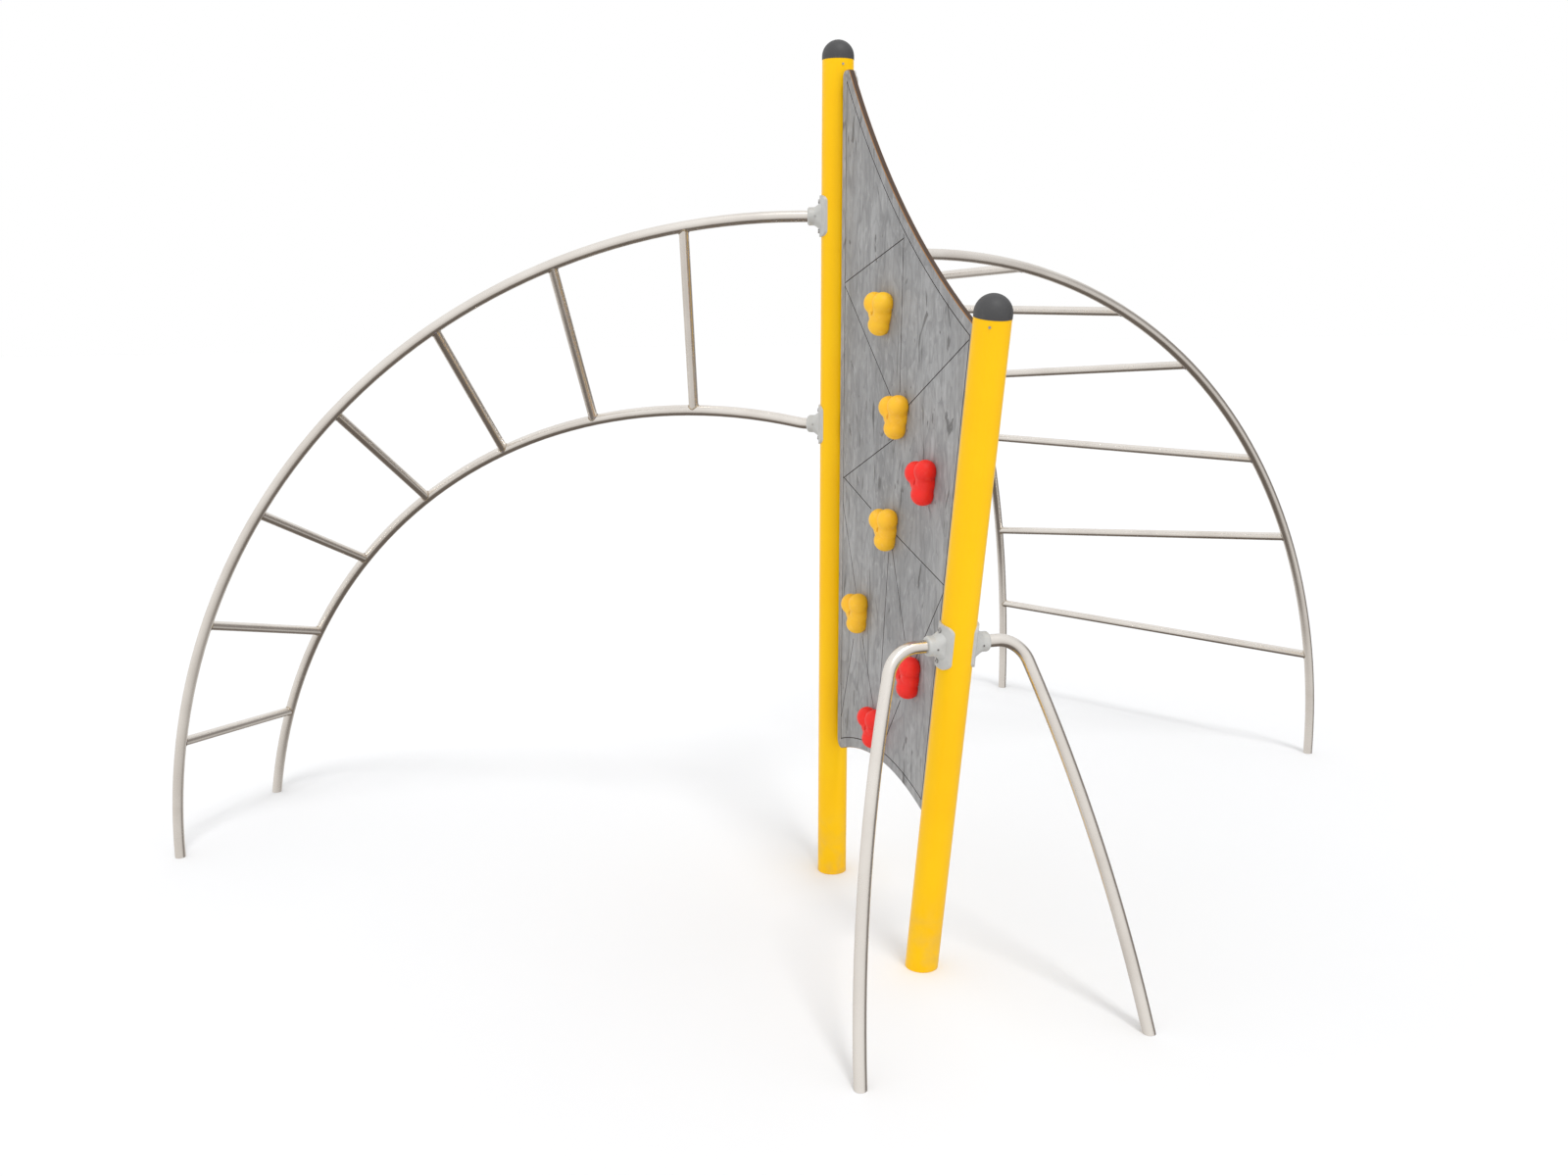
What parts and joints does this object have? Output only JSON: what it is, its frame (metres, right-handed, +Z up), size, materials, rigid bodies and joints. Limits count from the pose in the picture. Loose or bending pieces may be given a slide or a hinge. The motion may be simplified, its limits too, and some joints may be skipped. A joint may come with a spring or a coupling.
{
  "type": "dome climber",
  "caption": "Playground dome climber: tube ladders arching down from a tall post, and a grooved climbing wall with holds between it and a leaning post braced by two legs.",
  "frame": {"origin": "centre of the tall post's foot on the ground", "axes": "+Z up; the climbing wall lies in the plane X = 0 and runs from the tall post towards -Y, its climbing face looking towards -X; the narrow arch leaves towards -X and +Y, the wide arch towards +X and +Y"},
  "size_m": [5.3621, 3.7165, 3.1879],
  "materials": {
    "cap_plastic": "matte",
    "clamp_cast": "satin",
    "fastener": "satin",
    "hold_red": "satin",
    "hold_yellow": "satin",
    "powder_coat": "satin",
    "stainless": "brushed",
    "wall_board": "matte"
  },
  "bodies": {
    "root": {"bracket_screws": "fastener", "cap_screws": "fastener", "clamp_screws": "fastener", "hold_bolts": "fastener", "hold_red_1": "hold_red", "hold_red_2": "hold_red", "hold_red_3": "hold_red", "hold_tee_nuts": "fastener", "hold_yellow_1": "hold_yellow", "hold_yellow_2": "hold_yellow", "hold_yellow_3": "hold_yellow", "hold_yellow_4": "hold_yellow", "left_arch_lower_rail": "stainless", "left_arch_upper_rail": "stainless", "left_leg": "stainless", "left_leg_clamp": "clamp_cast", "left_lower_clamp": "clamp_cast", "left_rung_1": "stainless", "left_rung_2": "stainless", "left_rung_3": "stainless", "left_rung_4": "stainless", "left_rung_5": "stainless", "left_rung_6": "stainless", "left_rung_7": "stainless", "left_upper_clamp": "clamp_cast", "right_arch_far_rail": "stainless", "right_arch_near_rail": "stainless", "right_leg": "stainless", "right_leg_clamp": "clamp_cast", "right_rung_1": "stainless", "right_rung_2": "stainless", "right_rung_3": "stainless", "right_rung_4": "stainless", "right_rung_5": "stainless", "right_rung_6": "stainless", "right_twin_clamp": "clamp_cast", "set_screws": "fastener", "short_bracket_1": "clamp_cast", "short_bracket_2": "clamp_cast", "short_bracket_3": "clamp_cast", "short_post": "powder_coat", "short_post_cap": "cap_plastic", "tall_bracket_1": "clamp_cast", "tall_bracket_2": "clamp_cast", "tall_bracket_3": "clamp_cast", "tall_post": "powder_coat", "tall_post_cap": "cap_plastic", "wall_inserts": "fastener", "wall_panel": "wall_board", "wall_screws": "fastener"}
  },
  "joints": []
}
